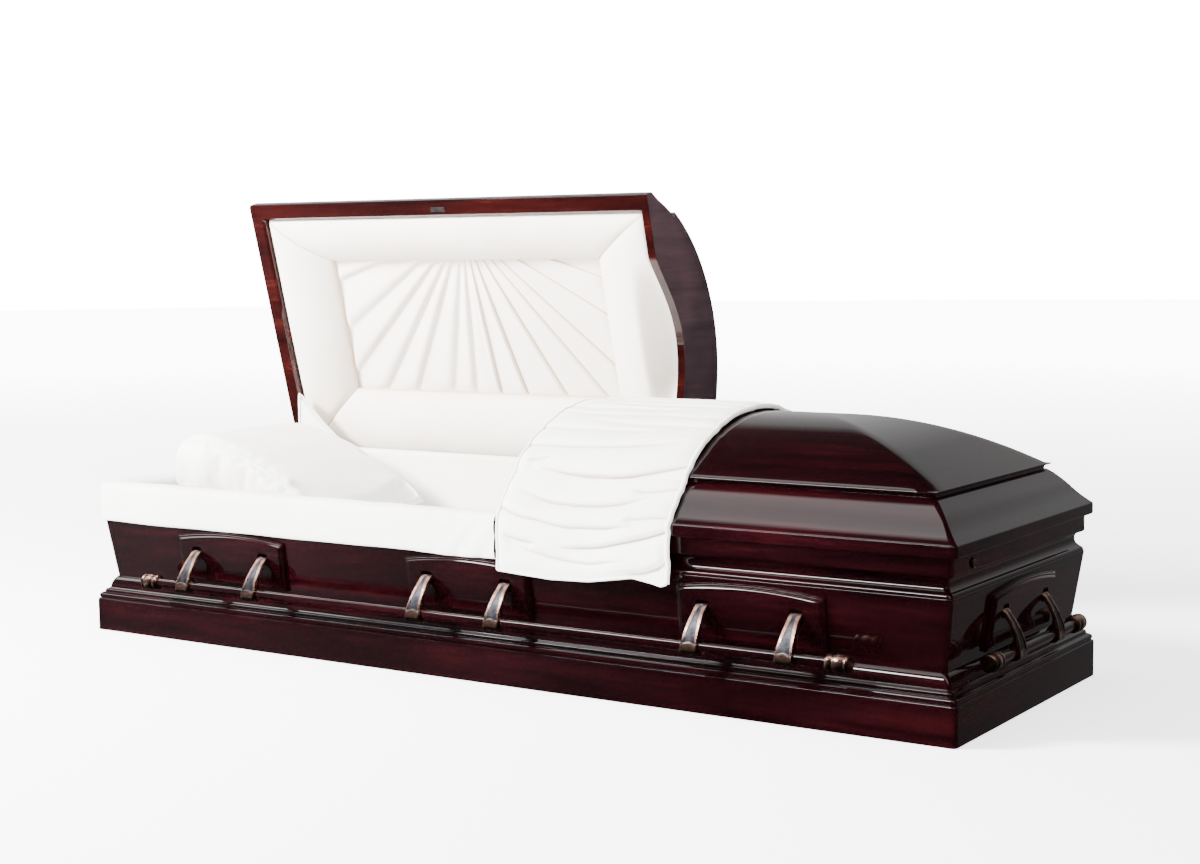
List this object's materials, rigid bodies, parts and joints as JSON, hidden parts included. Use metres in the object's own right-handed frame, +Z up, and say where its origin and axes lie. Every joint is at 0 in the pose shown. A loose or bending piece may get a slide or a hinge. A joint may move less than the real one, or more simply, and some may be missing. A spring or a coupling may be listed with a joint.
{
  "type": "funeral casket",
  "caption": "Half-couch glossy wooden funeral casket on a moulded base, head lid hinged open on ivory padded cloth, foot lid closed under a cloth throw, swing bar handles",
  "frame": {"origin": "centre of the underside of the base", "axes": "+Z up, +X to the foot end, -Y to the front, where the lid opens, and +Y to the hinge side"},
  "size_m": [2.1816, 0.8787, 0.9879],
  "materials": {
    "mahogany_gloss": "gloss varnish",
    "plain_board": "bare wood",
    "ivory_cloth": "soft satin weave",
    "antique_copper": "satin antique copper",
    "hinge_steel": "satin",
    "black_catch": "satin black"
  },
  "bodies": {
    "casket": {"base_moulding": "mahogany_gloss", "bottom_board": "plain_board", "body_shell": "mahogany_gloss", "ledge_moulding": "mahogany_gloss", "lock_plug": "antique_copper", "bed_frame": "plain_board", "mattress": "ivory_cloth", "body_lining": "ivory_cloth", "apron": "ivory_cloth", "pillow": "ivory_cloth", "hinge_body_leaf": "hinge_steel", "front_plaque_1": "mahogany_gloss", "front_plaque_2": "mahogany_gloss", "front_plaque_3": "mahogany_gloss", "back_plaque_1": "mahogany_gloss", "back_plaque_2": "mahogany_gloss", "back_plaque_3": "mahogany_gloss", "foot_plaque": "mahogany_gloss", "head_plaque": "mahogany_gloss"},
    "head_lid": {"head_lid_frame": "mahogany_gloss", "head_lid_crown": "mahogany_gloss", "head_lid_header": "mahogany_gloss", "lid_lining_rolls": "ivory_cloth", "lid_lining_panel": "ivory_cloth", "lid_catch": "black_catch", "hinge_head_leaf": "hinge_steel"},
    "foot_lid": {"foot_lid_frame": "mahogany_gloss", "foot_lid_crown": "mahogany_gloss", "foot_lid_header": "mahogany_gloss", "overlay": "ivory_cloth", "hinge_foot_leaf": "hinge_steel"},
    "front_handle": {"front_arm_1": "antique_copper", "front_arm_2": "antique_copper", "front_arm_3": "antique_copper", "front_arm_4": "antique_copper", "front_arm_5": "antique_copper", "front_arm_6": "antique_copper", "front_bar": "mahogany_gloss", "front_tip_1": "antique_copper", "front_tip_2": "antique_copper"},
    "back_handle": {"back_arm_1": "antique_copper", "back_arm_2": "antique_copper", "back_arm_3": "antique_copper", "back_arm_4": "antique_copper", "back_arm_5": "antique_copper", "back_arm_6": "antique_copper", "back_bar": "mahogany_gloss", "back_tip_1": "antique_copper", "back_tip_2": "antique_copper"},
    "foot_handle": {"foot_arm_1": "antique_copper", "foot_arm_2": "antique_copper", "foot_bar": "mahogany_gloss", "foot_tip_1": "antique_copper", "foot_tip_2": "antique_copper"},
    "head_handle": {"head_arm_1": "antique_copper", "head_arm_2": "antique_copper", "head_bar": "mahogany_gloss", "head_tip_1": "antique_copper", "head_tip_2": "antique_copper"}
  },
  "joints": [
    {"name": "head_lid_hinge", "type": "hinge", "parent": "casket", "child": "head_lid", "pos_m": [0, 0.3415, 0.3135], "axis": [1, 0, 0], "range_deg": [0, 75.3], "deforming": ["apron", "pillow", "body_lining", "overlay"]},
    {"name": "foot_lid_hinge", "type": "hinge", "parent": "casket", "child": "foot_lid", "pos_m": [0, 0.3415, 0.3135], "axis": [-1, 0, 0], "range_deg": [0, 75.3], "deforming": ["overlay"]},
    {"name": "front_handle_swing", "type": "hinge", "parent": "casket", "child": "front_handle", "pos_m": [0, -0.3335, 0.2015], "axis": [-1, 0, 0], "range_deg": [0, 60]},
    {"name": "back_handle_swing", "type": "hinge", "parent": "casket", "child": "back_handle", "pos_m": [0, 0.3335, 0.2015], "axis": [1, 0, 0], "range_deg": [0, 60]},
    {"name": "foot_handle_swing", "type": "hinge", "parent": "casket", "child": "foot_handle", "pos_m": [1.0485, 0, 0.2015], "axis": [0, -1, 0], "range_deg": [0, 60]},
    {"name": "head_handle_swing", "type": "hinge", "parent": "casket", "child": "head_handle", "pos_m": [-1.0485, 0, 0.2015], "axis": [0, 1, 0], "range_deg": [0, 60]}
  ]
}
